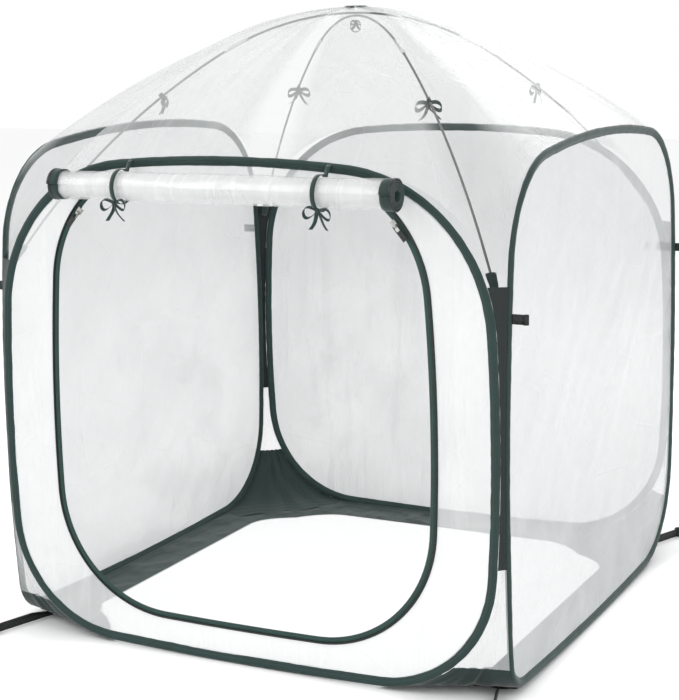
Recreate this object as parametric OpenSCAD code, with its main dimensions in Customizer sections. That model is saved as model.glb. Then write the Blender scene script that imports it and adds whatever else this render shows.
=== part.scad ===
// Mini pop-up greenhouse: four clear film walls on sprung steel hoops, a domed film roof over two crossed
// poles, a zipped front door rolled up under its ties, a ground skirt, guy loops and peg loops.
// Millimetres. +Z is up, the door faces -Y, and the origin is on the ground under the middle.

/* [Drawing] */
// The piece to draw, or all of them
// Smoothness of round parts
$fn = 72; // [48:144]

/* [Walls] */
// Width over the side wall sleeves
width = 1070; // [950:1200]
// Depth over the front and back sleeves
depth = 1070; // [950:1200]
// Height of the front and back hoops, to the middle of the sleeve
front_top = 950; // [850:1100]
// Height of the side hoops, to the middle of the sleeve
side_top = 978; // [850:1100]
// Height at which every hoop is widest
waist = 440; // [400:500]
// Radius of the hoop's nearly straight sides
side_bow = 3500; // [2000:9000]
// Radius of the hoop's nearly straight top
top_bow = 2700; // [2000:9000]
// Radius of the hoop's nearly straight bottom
foot_bow = 9000; // [5000:12000]
// Top corner radius of the front and back hoops
front_top_corner = 300; // [250:340]
// Bottom corner radius of the front and back hoops
front_foot_corner = 232; // [200:300]
// Top corner radius of the side hoops at the door end
near_top_corner = 205; // [180:300]
// Top corner radius of the side hoops at the back
far_top_corner = 215; // [180:300]
// Bottom corner radius of the side hoops at the door end
near_foot_corner = 65; // [50:120]
// Bottom corner radius of the side hoops at the back
far_foot_corner = 200; // [180:300]

/* [Sleeves, springs and film] */
// Outside radius of the sewn sleeve round each hoop
sleeve_r = 6.5; // [5:9]
// Half the height of the channel that the spring lies in
channel_r = 2.9; // [2.8:3.2]
// Width of the flat spring steel band, across the wall
band_w = 4; // [3:4.4]
// Thickness of the spring steel band
band_t = 1.2; // [0.8:1.5]
// Thickness of the clear film
film_t = 0.8; // [0.6:1.2]
// How far the film is sewn into the sleeve
sewn = 2; // [1:3]
// Distance from a fold line to the sleeve beside it, along each wall
fold_gap = 6.8; // [6.8:8]

/* [Door] */
// Half the width of the door opening, to the middle of the zip tape
door_half = 402; // [340:420]
// Bottom of the door opening, to the middle of the zip tape
door_foot = 68; // [50:120]
// Top of the zip, behind the rolled door
zip_top = 884; // [840:890]
// Corner radius of the door opening
door_corner = 240; // [180:280]
// Width of the zip tape
tape_w = 14; // [10:18]
// Thickness of the zip tape
tape_t = 1.6; // [1.2:2]
// Half the length of the rolled door
roll_half = 328; // [300:340]
// Outside radius of the rolled door
roll_r = 31; // [25:36]
// Height of the rolled door's axis
roll_z = 901; // [880:905]
// Width of a door tie ribbon
ribbon_w = 9; // [6:14]

/* [Roof] */
// Height of the roof film at its peak
peak = 1222; // [1100:1350]
// Height of the pole ends
pole_foot = 742; // [700:800]
// Radius of a roof pole
pole_r = 2.3; // [2:4]
// Bend radius of the pole over the middle
pole_bend = 560; // [500:650]
// Half the angle of that middle bend
pole_turn = 30; // [25:35]
// Rows of facets in each roof panel
roof_rows = 10; // [8:16]

/* [Ground and loops] */
// Width of the ground skirt inside the walls
skirt_w = 85; // [60:120]
// Width of the webbing loops
web_w = 18; // [15:25]
// Thickness of the webbing
web_t = 1.6; // [1:2]
// Inside radius of a peg loop
peg_r = 9; // [6:12]
// Distance of the middle of every peg eye in front of or behind the walls
peg_reach = 60; // [40:90]
// Distance of the front peg eyes from the middle, sideways
peg_front = 530; // [500:560]
// Distance of the back peg eyes from the middle, sideways
peg_back = 530; // [500:560]
// Height of the guy loops
guy_z = 690; // [600:740]

/* [Hidden] */
// distance of a hoop's plane from the middle, and of the fold lines
wall_x = width / 2 - sleeve_r;
wall_y = depth / 2 - sleeve_r;
fold_x = wall_x - fold_gap;
fold_y = wall_y - fold_gap;
// each hoop: half width, top height, then corner radii for far top, near top, near foot, far foot
front_hoop = [fold_x - fold_gap, front_top,
  [front_top_corner, front_top_corner, front_foot_corner, front_foot_corner]];
side_hoop = [fold_y - fold_gap, side_top,
  [far_top_corner, near_top_corner, near_foot_corner, far_foot_corner]];
door_hoop = [door_half, zip_top + 60, [door_corner, door_corner, door_corner, door_corner]];

green = "#2c5c50";
dark = "#15302d";
clear = "#e4eaec80";
steel = "#9a9da0";

// ---- hoop outlines -------------------------------------------------------------------------------
// A quarter of a hoop runs from its widest point (a, 0) to its end (0, b) in three arcs that meet
// smoothly: a flat side of radius rs, a corner of radius rc and a flat end of radius re.
function corner_mid(a, b, rs, re, rc) =
  let (s = [a - rs, 0], e = [0, b - re], d = norm(e - s), p = rs - rc, q = re - rc,
       k = (p * p - q * q + d * d) / (2 * d), h = sqrt(max(0, p * p - k * k)), n = (e - s) / d,
       one = s + n * k + [-n[1], n[0]] * h, two = s + n * k - [-n[1], n[0]] * h)
  one[0] + one[1] > two[0] + two[1] ? one : two;
function arcs(a, b, rs, re, rc) =
  let (m = corner_mid(a, b, rs, re, rc), t1 = atan2(m[1], m[0] - a + rs),
       t2 = atan2(m[1] - b + re, m[0]))
  [[a - rs, 0, rs, 0, t1], [m[0], m[1], rc, t1, t2], [0, b - re, re, t2, 90]];
// quarters in the order far top, near top, near foot, far foot, and the way each one is flipped
flips = [[1, 1], [-1, 1], [-1, -1], [1, -1]];
function foot_of(h) = h == door_hoop ? door_foot : sleeve_r;
function quarter(h, i) =
  i < 2 ? arcs(h[0], h[1] - waist, side_bow, top_bow, h[2][i])
        : arcs(h[0], waist - foot_of(h), side_bow, foot_bow, h[2][i]);
function arc_points(c, inset, turn) =
  [for (k = [0 : turn - 1]) let (t = c[3] + (c[4] - c[3]) * k / turn)
    [c[0], c[1]] + (c[2] - inset) * [cos(t), sin(t)]];
function quarter_points(h, i, inset) =
  let (q = quarter(h, i))
  concat(arc_points(q[0], inset, 5), arc_points(q[1], inset, 16), arc_points(q[2], inset, 5),
         [[0, q[2][1] + q[2][2] - inset]]);
function backwards(p) = [for (k = [len(p) - 1 : -1 : 0]) p[k]];
function placed(p, i) = [for (v = p) [flips[i][0] * v[0], waist + flips[i][1] * v[1]]];
function outline(h, inset) = concat(
  placed(quarter_points(h, 0, inset), 0), backwards(placed(quarter_points(h, 1, inset), 1)),
  placed(quarter_points(h, 2, inset), 2), backwards(placed(quarter_points(h, 3, inset), 3)));
// half width of quarter i of hoop h at height z, measured to a line that runs out outside the hoop
function reach(h, i, z, out = 0) =
  let (q = quarter(h, i), v = abs(z - waist), low = (q[0][2] + out) * sin(q[0][4]),
       high = q[1][1] + (q[1][2] + out) * sin(q[1][4]),
       c = v <= low ? q[0] : v <= high ? q[1] : q[2])
  c[0] + sqrt(max(0, (c[2] + out) * (c[2] + out) - (v - c[1]) * (v - c[1])));
// height of the top of hoop h at distance u from its middle, on quarter i
function crown(h, i, u) =
  let (q = quarter(h, i), x1 = q[1][0] + q[1][2] * cos(q[1][4]), x0 = q[0][0] + q[0][2] * cos(q[0][4]),
       c = u <= x1 ? q[2] : u <= x0 ? q[1] : q[0])
  waist + c[1] + sqrt(max(0, c[2] * c[2] - (u - c[0]) * (u - c[0])));

// A closed band along a hoop, in the XZ plane: r to each side of its middle line and t thick.
module band(h, r, t) {
  in_plane(t)
    difference() {
      polygon(outline(h, -r));
      polygon(outline(h, r));
    }
}
// A flat shape drawn in the hoop's own plane, of thickness t, centred on that plane.
module in_plane(t) {
  translate([0, t / 2, 0]) rotate([90, 0, 0]) linear_extrude(t) children();
}
module at_front() { translate([0, -wall_y, 0]) children(); }
module at_back() { translate([0, wall_y, 0]) children(); }
module at_right() { translate([wall_x, 0, 0]) rotate([0, 0, 90]) children(); }
module at_left() { translate([-wall_x, 0, 0]) rotate([0, 0, 90]) children(); }

// ---- what every wall has ---------------------------------------------------------------------------
module spring(h) { color(steel) band(h, band_t / 2, band_w); }
// the sleeve is a padded seam, widest in the middle, round a channel for the spring
module sleeve(h) {
  color(green)
    difference() {
      union() {
        band(h, sleeve_r, sleeve_r);
        band(h, sleeve_r * 0.68, 2 * sleeve_r - 2);
      }
      band(h, channel_r, 2 * channel_r);
    }
}
// crimped clip that closes the spring band, in the middle of the foot
module joiner(h) {
  color(steel)
    translate([0, 0, sleeve_r])
      difference() {
        cube([40, band_w + 1, band_t + 1.6], center = true);
        cube([42, band_w + 0.2, band_t + 0.4], center = true);
      }
}
module panel(h) {
  color(clear) in_plane(film_t) polygon(outline(h, sleeve_r - sewn));
}
module front_spring() { at_front() spring(front_hoop); }
module front_joiner() { at_front() joiner(front_hoop); }
module front_sleeve() { at_front() sleeve(front_hoop); }
module back_spring() { at_back() spring(front_hoop); }
module back_joiner() { at_back() joiner(front_hoop); }
module back_sleeve() { at_back() sleeve(front_hoop); }
module back_film() { at_back() panel(front_hoop); }
module right_spring() { at_right() spring(side_hoop); }
module right_joiner() { at_right() joiner(side_hoop); }
module right_sleeve() { at_right() sleeve(side_hoop); }
module right_film() { at_right() panel(side_hoop); }
module left_spring() { at_left() spring(side_hoop); }
module left_joiner() { at_left() joiner(side_hoop); }
module left_sleeve() { at_left() sleeve(side_hoop); }
module left_film() { at_left() panel(side_hoop); }

// ---- front wall: film round the opening, zip and ties ----------------------------------------------
// The opening's outline, moved in by inset; the zip itself runs only below zip_top.
module opening(inset) { polygon(outline(door_hoop, inset)); }
module below_zip_top() {
  intersection() {
    children();
    translate([-width / 2, 0]) square([width, zip_top]);
  }
}
module front_film() {
  color(clear)
    at_front()
      in_plane(film_t)
        difference() {
          polygon(outline(front_hoop, sleeve_r - sewn));
          below_zip_top() opening(0);
        }
}
module zip_tape() {
  color(green)
    at_front()
      in_plane(tape_t)
        below_zip_top()
          difference() {
            opening(-tape_w / 2 + 3);
            opening(tape_w / 2 + 3);
          }
}
// the row of zip teeth stands on the outer half of the tape
module zip_coil() {
  color(dark)
    at_front()
      translate([0, -tape_t / 2 - 0.75, 0])
        in_plane(1.5)
          below_zip_top()
            difference() {
              opening(-3.5);
              opening(0.5);
            }
}
// A ribbon passes round the rolled door and is tied in a bow under its front.
module door_tie(x) {
  loop_r = roll_r + 3;
  color(green)
    translate([x, -wall_y - 10 - roll_r, roll_z]) {
      rotate([90, 0, 90])
        rotate([0, 0, 118])
          rotate_extrude(angle = 222)
            translate([loop_r, -ribbon_w / 2])
              square([1.2, ribbon_w]);
      for (s = [-1, 1])
        translate([s * 15, -20, -loop_r - 3])
          rotate([90, s * 12, 0])
            linear_extrude(ribbon_w, center = true)
              difference() {
                circle(9);
                circle(7.8);
              }
      for (s = [-1, 1])
        translate([s * 5, -20, -loop_r - 3])
          rotate([0, s * 40, 0])
            translate([-1, -ribbon_w / 2, -30])
              cube([1.2, ribbon_w, 28]);
      translate([0, -20, -loop_r - 3]) sphere(8);
    }
}
module door_tie_left() { door_tie(-205); }
module door_tie_right() { door_tie(205); }

// ---- rolled door -----------------------------------------------------------------------------------
// A spiral drawn as half rings, each half a pitch wider than the last.
module spiral(r0, pitch, halves, t) {
  for (k = [0 : halves - 1])
    translate([k % 2 == 0 ? 0 : pitch / 2, 0])
      intersection() {
        difference() {
          circle(r0 + k * pitch / 2);
          circle(r0 + k * pitch / 2 - t);
        }
        translate([-100, k % 2 == 0 ? 0 : -100]) square([200, 100]);
      }
}
module door_roll_film() {
  color(clear)
    translate([-roll_half, -wall_y - 10 - roll_r, roll_z])
      rotate([90, 0, 90])
        linear_extrude(2 * roll_half)
          translate([-1.5, 0]) spiral(roll_r - 16.5, 6, 6, 1.2);
}
// the zip tape on the door's edges is rolled up with it and stands out at both ends
module roll_end_tapes() {
  color(green)
    for (s = [-1, 1])
      translate([s * (roll_half + 12) - 11, -wall_y - 10 - roll_r, roll_z])
        rotate([90, 0, 90])
          linear_extrude(22)
            translate([-1.5, 0]) spiral(roll_r - 15.5, 6, 6, 3);
}

// ---- zip sliders and pulls -------------------------------------------------------------------------
// middle of the opening's upper corner arc, and how far up it a slider is parked
door_q = quarter(door_hoop, 0);
door_mid = [door_q[1][0], waist + door_q[1][1]];
park = 40;
slide_r = door_corner - 6;
// The slider wraps the free edge of the tape with a front plate, a back plate and a bridge.
module slider(s) {
  color(steel)
    translate([s * door_mid[0], -wall_y, door_mid[1]])
      mirror([s < 0 ? 1 : 0, 0, 0])
        rotate([0, -park, 0])
          translate([slide_r - 5, 0, 0])
            difference() {
              union() {
                translate([-4.4, -3.4, -7]) cube([9.4, 6.8, 14]);
                translate([0, -3.4, -4]) rotate([90, 0, 0]) cylinder(r = 2.6, h = 4.2);
                translate([0, -3.4, 4]) rotate([90, 0, 0]) cylinder(r = 2.6, h = 1.2);
              }
              translate([-1.7, -1.3, -8]) cube([12, 2.6, 16]);
              translate([-5, -6, -4]) rotate([0, 90, 0]) cylinder(r = 1.1, h = 10);
            }
}
module slider_left() { slider(-1); }
module slider_right() { slider(1); }
// The pull is a plate with a bent wire eye through the slider's boss.
pull_at = [door_mid[0] + (slide_r - 5) * cos(park) + 4 * sin(park),
           door_mid[1] + (slide_r - 5) * sin(park) - 4 * cos(park)];
module pull(s) {
  color(dark)
    translate([s * pull_at[0], -wall_y - 6, pull_at[1]])
      mirror([s < 0 ? 1 : 0, 0, 0])
        rotate([0, -park, 0]) {
          translate([-4.9, 0, 0]) rotate([0, 90, 0]) cylinder(r = 0.8, h = 9.8);
          for (e = [-1, 1])
            translate([e * 4.3 - 0.6, -0.8, -12]) cube([1.2, 1.6, 12]);
          translate([-4.9, -0.8, -32]) cube([9.8, 1.6, 20.5]);
        }
}
module pull_left() { pull(-1); }
module pull_right() { pull(1); }

// ---- sheets that span two hoops --------------------------------------------------------------------
// A thin solid over a grid of points, given by rows, thickened along the vector up.
module sheet(rows, up) {
  n = len(rows);
  m = len(rows[0]);
  flat = [for (r = rows) for (p = r) p];
  all = concat(flat, [for (p = flat) p + up]);
  function at(i, j) = i * m + j;
  cells = [for (i = [0 : n - 2]) for (j = [0 : m - 2]) [at(i, j), at(i, j + 1), at(i + 1, j + 1), at(i + 1, j)]];
  lower = [for (c = cells) each [[c[0], c[1], c[2]], [c[0], c[2], c[3]]]];
  upper = [for (c = lower) [c[2] + n * m, c[1] + n * m, c[0] + n * m]];
  rim = concat([for (j = [0 : m - 1]) at(0, j)], [for (i = [1 : n - 1]) at(i, m - 1)],
               [for (j = [m - 2 : -1 : 0]) at(n - 1, j)], [for (i = [n - 2 : -1 : 1]) at(i, 0)]);
  edge = [for (k = [0 : len(rim) - 1]) let (a = rim[k], b = rim[(k + 1) % len(rim)])
    each [[b, a, a + n * m], [b, a + n * m, b + n * m]]];
  polyhedron(all, concat(lower, upper, edge));
}
// Corner sheets join the front or back hoop to a side hoop, between two heights, just clear of the sleeves.
// fb is -1 at the front and 1 at the back; lr is -1 on the left and 1 on the right.
clear_r = sleeve_r + 1.5;
function on_front(z) = [reach(front_hoop, z < waist ? 2 : 0, z, clear_r), wall_y];
function on_side(fb, z) =
  [wall_x, reach(side_hoop, z < waist ? (fb < 0 ? 2 : 3) : (fb < 0 ? 1 : 0), z, clear_r)];
function corner_rows(fb, z0, z1, steps) =
  [for (k = [0 : steps]) let (z = z0 + (z1 - z0) * k / steps, f = on_front(z), s = on_side(fb, z))
    [for (w = [0 : 0.25 : 1]) let (p = f + (s - f) * w) [p[0], p[1], z]]];
module corner_sheet(fb, lr, z0, z1, steps) {
  mirror([lr < 0 ? 1 : 0, 0, 0])
    mirror([0, fb < 0 ? 1 : 0, 0])
      sheet(corner_rows(fb, z0, z1, steps), [0.6, 0.6, 0]);
}
// heights of the fabric gussets at the ground and of the clear gores above them
gusset_foot = 10;
gusset_near = 62;
gusset_far = 124;
gore_near = 251;
gore_far = 281;
seam_top = 745;
module gusset_fl() { color(green) corner_sheet(-1, -1, gusset_foot, gusset_near, 10); }
module gusset_fr() { color(green) corner_sheet(-1, 1, gusset_foot, gusset_near, 10); }
module gusset_bl() { color(green) corner_sheet(1, -1, gusset_foot, gusset_far, 12); }
module gusset_br() { color(green) corner_sheet(1, 1, gusset_foot, gusset_far, 12); }
module gore_fl() { color(clear) corner_sheet(-1, -1, gusset_near + 1, gore_near, 8); }
module gore_fr() { color(clear) corner_sheet(-1, 1, gusset_near + 1, gore_near, 8); }
module gore_bl() { color(clear) corner_sheet(1, -1, gusset_far + 1, gore_far, 8); }
module gore_br() { color(clear) corner_sheet(1, 1, gusset_far + 1, gore_far, 8); }
// narrow seams close each corner from there up to the pole pockets
module front_seams() { color(green) for (lr = [-1, 1]) corner_sheet(-1, lr, gore_near + 1, seam_top, 8); }
module back_seams() { color(green) for (lr = [-1, 1]) corner_sheet(1, lr, gore_far + 1, seam_top, 8); }

// ---- roof ------------------------------------------------------------------------------------------
foot_x = fold_x - 4;
// The poles bend over a middle arc and two flatter outer arcs.
pole_span = foot_x * sqrt(2) - 24;
pole_drop = peak - 12 - pole_foot;
out_x = pole_span - pole_bend * sin(pole_turn);
out_z = pole_drop - pole_bend * (1 - cos(pole_turn));
pole_end = 2 * atan2(out_z, out_x) - pole_turn;
pole_flat = norm([out_x, out_z]) / (2 * sin((pole_end - pole_turn) / 2));
// height of a pole's middle line at distance d from the peak, on the arc that it is on there
function arc_height(r, lean, d) =
  pole_foot + pole_drop - pole_bend - (r - pole_bend) * cos(pole_turn)
    + sqrt(r * r - (d + (r - pole_bend) * lean) * (d + (r - pole_bend) * lean));
function pole_height(d) =
  d < pole_bend * sin(pole_turn) ? arc_height(pole_bend, 0, d) : arc_height(pole_flat, sin(pole_turn), d);

// Each roof panel spans from one hoop's crown to the peak between two poles. Rows run pole to pole.
function pole_z(k) = pole_height(k * pole_span) + 12 - 4 * k;
function roof_row(h, i, j, k, m) =
  [for (w = [-m : m]) let (u = w / m, q = u < 0 ? j : i,
    rise = crown(h, q, abs(u) * reach(h, q, pole_foot + 8)) - pole_foot - 8)
    [u * (foot_x * k - 1.2), -foot_x * k, pole_z(k) + rise * pow(k, 2.2)]];
module roof_panel(h, i, j) {
  color(clear)
    sheet([for (r = [0 : roof_rows]) roof_row(h, i, j, 1 - 0.975 * r / roof_rows, 6)], [0, 0, film_t]);
}
module roof_front() { roof_panel(front_hoop, 0, 1); }
module roof_back() { rotate([0, 0, 180]) roof_panel(front_hoop, 0, 1); }
module roof_right() { rotate([0, 0, 90]) roof_panel(side_hoop, 0, 1); }
module roof_left() { mirror([1, 0, 0]) rotate([0, 0, 90]) roof_panel(side_hoop, 0, 1); }
module roof_patch() { color(green) translate([0, 0, peak + 1.6]) cylinder(r = 24, h = 1); }

module pole_half() {
  translate([0, 0, pole_foot + pole_drop - pole_bend])
    rotate([90, 0, 0])
      rotate([0, 0, 90 - pole_turn])
        rotate_extrude(angle = pole_turn)
          translate([pole_bend, 0]) circle(pole_r);
  translate([-(pole_flat - pole_bend) * sin(pole_turn), 0,
             pole_foot + pole_drop - pole_bend - (pole_flat - pole_bend) * cos(pole_turn)])
    rotate([90, 0, 0])
      rotate([0, 0, 90 - pole_end])
        rotate_extrude(angle = pole_end - pole_turn)
          translate([pole_flat, 0]) circle(pole_r);
}
module pole() { color(dark) for (s = [0, 180]) rotate([0, 0, s]) pole_half(); }
module pole_upper() { rotate([0, 0, 45]) pole(); }
module pole_lower() { translate([0, 0, -5.4]) rotate([0, 0, -45]) pole(); }
// steel ferrules join the pole sections a third of the way along, on the middle arc's ends
module pole_ferrules() {
  color(steel)
    for (a = [45, 135, 225, 315])
      translate([0, 0, pole_foot + pole_drop - pole_bend - (a % 180 == 45 ? 0 : 5.4)])
        rotate([0, 0, a])
          rotate([90, 0, 0])
            rotate([0, 0, 90 - pole_turn])
              rotate_extrude(angle = 6)
                translate([pole_bend, 0])
                  difference() {
                    circle(pole_r + 1.2);
                    circle(pole_r + 0.1);
                  }
}
// short ribbons tie the film to each pole half way down it, and one loop hangs at the peak
module pole_ties() {
  tie_turn = (pole_turn + pole_end) / 2 - 6;
  tie_x = (pole_flat) * sin(tie_turn) - (pole_flat - pole_bend) * sin(pole_turn);
  tie_z = pole_foot + pole_drop - pole_bend - (pole_flat - pole_bend) * cos(pole_turn)
    + pole_flat * cos(tie_turn);
  color(green)
    for (a = [45, 135, 225, 315])
      rotate([0, 0, a])
        translate([tie_x, 0, tie_z - (a % 180 == 45 ? 0 : 5.4)])
          rotate([0, tie_turn, 0]) {
            rotate([0, 90, 0])
              difference() {
                cylinder(r = pole_r + 1.7, h = 8, center = true);
                cylinder(r = pole_r + 0.7, h = 10, center = true);
              }
            for (s = [-1, 1])
              translate([0, s * 9, -pole_r - 1.5])
                rotate([90, 0, 90])
                  linear_extrude(8, center = true)
                    difference() {
                      circle(7);
                      circle(6);
                    }
            translate([-4, -0.5, -pole_r - 34]) cube([8, 1, 33]);
          }
}
module peak_loop() {
  color(green)
    translate([0, 0, peak - 24 - 14])
      rotate([0, 0, 20]) {
        rotate([90, 0, 0])
          linear_extrude(8, center = true)
            difference() {
              circle(10);
              circle(8.8);
            }
        translate([-4, -0.6, 9]) cube([8, 1.2, 8.8]);
      }
}
// fabric pockets inside the corners hold the pole ends; they lean with the poles and are open at the top
module pocket(a, drop) {
  rotate([0, 0, a])
    translate([pole_span, 0, pole_foot - drop])
      rotate([0, pole_end - 90, 0])
        difference() {
          translate([-5, -11, -14]) cube([10, 22, 46]);
          translate([-3.6, -4.6, -10]) cube([7.2, 9.2, 60]);
        }
}
module front_pockets() { color(green) { pocket(225, 0); pocket(315, 5.4); } }
module back_pockets() { color(green) { pocket(45, 0); pocket(135, 5.4); } }

// ---- ground skirt ----------------------------------------------------------------------------------
// It runs along three walls and cuts both back corners, under the gussets. Its inner edge is parallel.
edge_x = fold_x - 8;
edge_y = fold_y - 8;
cut_x = on_front(gusset_foot)[0] - 10;
cut_y = on_side(1, gusset_foot)[1] - 10;
// half of the skirt's outline, moved in by d, from the door to the middle of the back
function skirt_side(d) =
  [[edge_x - d, -edge_y + 66], [edge_x - d, cut_y - d * 0.4], [cut_x - d * 0.4, edge_y - d], [0, edge_y - d]];
module skirt_half() { polygon(concat(skirt_side(0), backwards(skirt_side(skirt_w)))); }
// the part of it that belongs to the right wall ends half way along the cut corner
module skirt_right() {
  color(green)
    translate([0, 0, 0.6])
      linear_extrude(1)
        intersection() {
          skirt_half();
          polygon([[0, -edge_y], [width, -edge_y], [width, width - 1], [0, -1]]);
        }
}
module skirt_left() { mirror([1, 0, 0]) skirt_right(); }
module skirt_back() {
  color(green)
    translate([0, 0, 0.6])
      linear_extrude(1)
        intersection() {
          union() {
            skirt_half();
            mirror([1, 0]) skirt_half();
          }
          polygon([[0, 0], [width, width], [-width, width]]);
        }
}

// ---- webbing loops ---------------------------------------------------------------------------------
// A strap doubled back on itself: two flat layers that end in a round eye, cut from above.
module strap_loop(length, eye) {
  difference() {
    union() {
      circle(eye + web_t);
      translate([-length, -web_t]) square([length, 2 * web_t]);
    }
    circle(eye);
  }
}
// The sewn end of a peg loop is cut on a slant, so that the side hoops clear it as the walls fold.
module peg(from, to) {
  run = norm(to - from);
  color(dark)
    translate([to[0], to[1], 1])
      rotate([0, 0, atan2(to[1] - from[1], to[0] - from[0])])
        intersection() {
          linear_extrude(web_w) strap_loop(run, peg_r);
          rotate([90, 0, 0])
            linear_extrude(40, center = true)
              polygon([[-run, 0], [20, 0], [20, web_w], [50 - run, web_w], [-run, web_w * 0.4]]);
        }
}
// they are sewn to the gussets: w is how far along a gusset's foot, from the front or back wall
function peg_root(fb, w) =
  let (f = on_front(gusset_foot), s = on_side(fb, gusset_foot)) f + (s - f) * w - [1.6, 1.6];
module peg_br() { peg(peg_root(1, 0.65), [peg_back, depth / 2 + peg_reach]); }
module peg_bl() { mirror([1, 0, 0]) peg_br(); }
module peg_fr() { mirror([0, 1, 0]) peg(peg_root(-1, 0.8), [peg_front, depth / 2 + peg_reach]); }
module peg_fl() { mirror([1, 0, 0]) peg_fr(); }
// guy loops stand out sideways from the side hoops, level with the pole pockets
module guy(s, y) {
  color(dark)
    translate([s * (width / 2 + 24), y, guy_z])
      rotate([0, s < 0 ? 180 : 0, 0])
        linear_extrude(web_w, center = true) strap_loop(27, 4);
}
guy_near = reach(side_hoop, 1, guy_z);
guy_far = reach(side_hoop, 0, guy_z);
module guy_fr() { guy(1, -guy_near); }
module guy_fl() { guy(-1, -guy_near); }
module guy_br() { guy(1, guy_far); }
module guy_bl() { guy(-1, guy_far); }

front_spring();
front_joiner();
front_sleeve();
front_film();
zip_tape();
zip_coil();
door_tie_left();
door_tie_right();
door_roll_film();
roll_end_tapes();
slider_left();
slider_right();
pull_left();
pull_right();
right_spring();
right_joiner();
right_sleeve();
right_film();
skirt_right();
guy_fr();
guy_br();
back_spring();
back_joiner();
back_sleeve();
back_film();
skirt_back();
peg_bl();
peg_br();
left_spring();
left_joiner();
left_sleeve();
left_film();
skirt_left();
guy_fl();
guy_bl();
peg_fl();
peg_fr();
gore_fl();
gore_fr();
gore_bl();
gore_br();
gusset_fl();
gusset_fr();
gusset_bl();
gusset_br();
front_seams();
back_seams();
roof_front();
roof_right();
roof_back();
roof_left();
roof_patch();
peak_loop();
pole_lower();
pole_upper();
pole_ferrules();
pole_ties();
front_pockets();
back_pockets();
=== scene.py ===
# Mini pop-up greenhouse: clear film on sprung hoops, a domed roof over crossed poles and a rolled zip door.
# Metres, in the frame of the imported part: +Z is up and the door faces -Y.
import math

import bmesh
import bpy
from mathutils import Matrix, Vector, noise
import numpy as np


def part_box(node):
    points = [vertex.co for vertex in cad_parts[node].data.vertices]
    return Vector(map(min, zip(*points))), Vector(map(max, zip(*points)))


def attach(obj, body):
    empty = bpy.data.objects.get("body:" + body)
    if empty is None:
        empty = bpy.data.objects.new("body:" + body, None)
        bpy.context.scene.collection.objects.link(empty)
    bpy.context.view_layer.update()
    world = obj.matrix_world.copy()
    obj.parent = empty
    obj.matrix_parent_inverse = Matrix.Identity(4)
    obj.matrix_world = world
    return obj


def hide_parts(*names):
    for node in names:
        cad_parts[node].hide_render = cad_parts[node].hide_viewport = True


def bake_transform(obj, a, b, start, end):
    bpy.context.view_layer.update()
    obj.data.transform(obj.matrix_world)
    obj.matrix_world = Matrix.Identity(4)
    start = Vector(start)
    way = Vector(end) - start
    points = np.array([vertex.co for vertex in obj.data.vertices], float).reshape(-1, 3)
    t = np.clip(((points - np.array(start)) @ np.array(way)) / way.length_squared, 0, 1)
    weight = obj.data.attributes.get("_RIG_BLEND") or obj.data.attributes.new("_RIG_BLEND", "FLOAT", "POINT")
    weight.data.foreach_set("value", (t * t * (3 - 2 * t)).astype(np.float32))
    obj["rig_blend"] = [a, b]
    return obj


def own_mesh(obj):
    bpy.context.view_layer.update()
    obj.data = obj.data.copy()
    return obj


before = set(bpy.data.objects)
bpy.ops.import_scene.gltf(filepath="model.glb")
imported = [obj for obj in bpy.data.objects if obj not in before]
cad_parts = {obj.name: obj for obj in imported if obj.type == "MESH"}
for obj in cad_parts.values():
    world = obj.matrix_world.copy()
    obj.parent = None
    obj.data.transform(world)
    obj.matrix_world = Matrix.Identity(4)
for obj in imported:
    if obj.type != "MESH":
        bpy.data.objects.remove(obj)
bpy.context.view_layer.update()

# ---- Studio --------------------------------------------------------------------------------------
# A plain white floor in an even white room, with three large soft lamps. The camera stands at the front
# right of the door, a little above it, and looks slightly down.
CAMERA_AT = Vector((1.5425, -3.165, 1.181))
CAMERA_TURN, CAMERA_TILT, CAMERA_LEAN = -0.4654, -0.165, -0.015
ahead = Vector((math.sin(CAMERA_TURN) * math.cos(CAMERA_TILT),
                math.cos(CAMERA_TURN) * math.cos(CAMERA_TILT), math.sin(CAMERA_TILT)))
level = ahead.cross(Vector((0, 0, 1))).normalized()
upward = level.cross(ahead)
camera_right = level * math.cos(CAMERA_LEAN) + upward * math.sin(CAMERA_LEAN)
camera_up = upward * math.cos(CAMERA_LEAN) - level * math.sin(CAMERA_LEAN)
camera = bpy.data.objects.new("camera", bpy.data.cameras.new("camera"))
bpy.context.scene.collection.objects.link(camera)
camera.matrix_world = Matrix.Translation(CAMERA_AT) @ Matrix(
    (camera_right, camera_up, -ahead)).transposed().to_4x4()
camera.data.sensor_width = 36
camera.data.lens = 87.3
camera.data.shift_y = -0.057
bpy.context.scene.camera = camera
bpy.context.scene.view_settings.view_transform = "Standard"


def linear(hex_colour):
    """Linear RGBA of an sRGB hex colour."""
    parts = [int(hex_colour[i:i + 2], 16) / 255 for i in (1, 3, 5)]
    return [p / 12.92 if p <= 0.04045 else ((p + 0.055) / 1.055) ** 2.4 for p in parts] + [1.0]


def add(tree, kind, inputs=None, **settings):
    """Adds one node: inputs are values or the sockets that feed them."""
    made = tree.nodes.new(kind)
    for name, value in settings.items():
        setattr(made, name, value)
    for name, value in (inputs or {}).items():
        if isinstance(value, bpy.types.NodeSocket):
            tree.links.new(value, made.inputs[name])
        else:
            made.inputs[name].default_value = value
    return made


def surface(name):
    """A new material with an empty tree, ready for its Principled node."""
    material = bpy.data.materials.new(name)
    material.use_nodes = True
    material.node_tree.nodes.clear()
    return material, material.node_tree


def finish_surface(material, shader):
    out = add(material.node_tree, "ShaderNodeOutputMaterial", {"Surface": shader.outputs[0]})
    out.is_active_output = True
    return material


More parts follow.
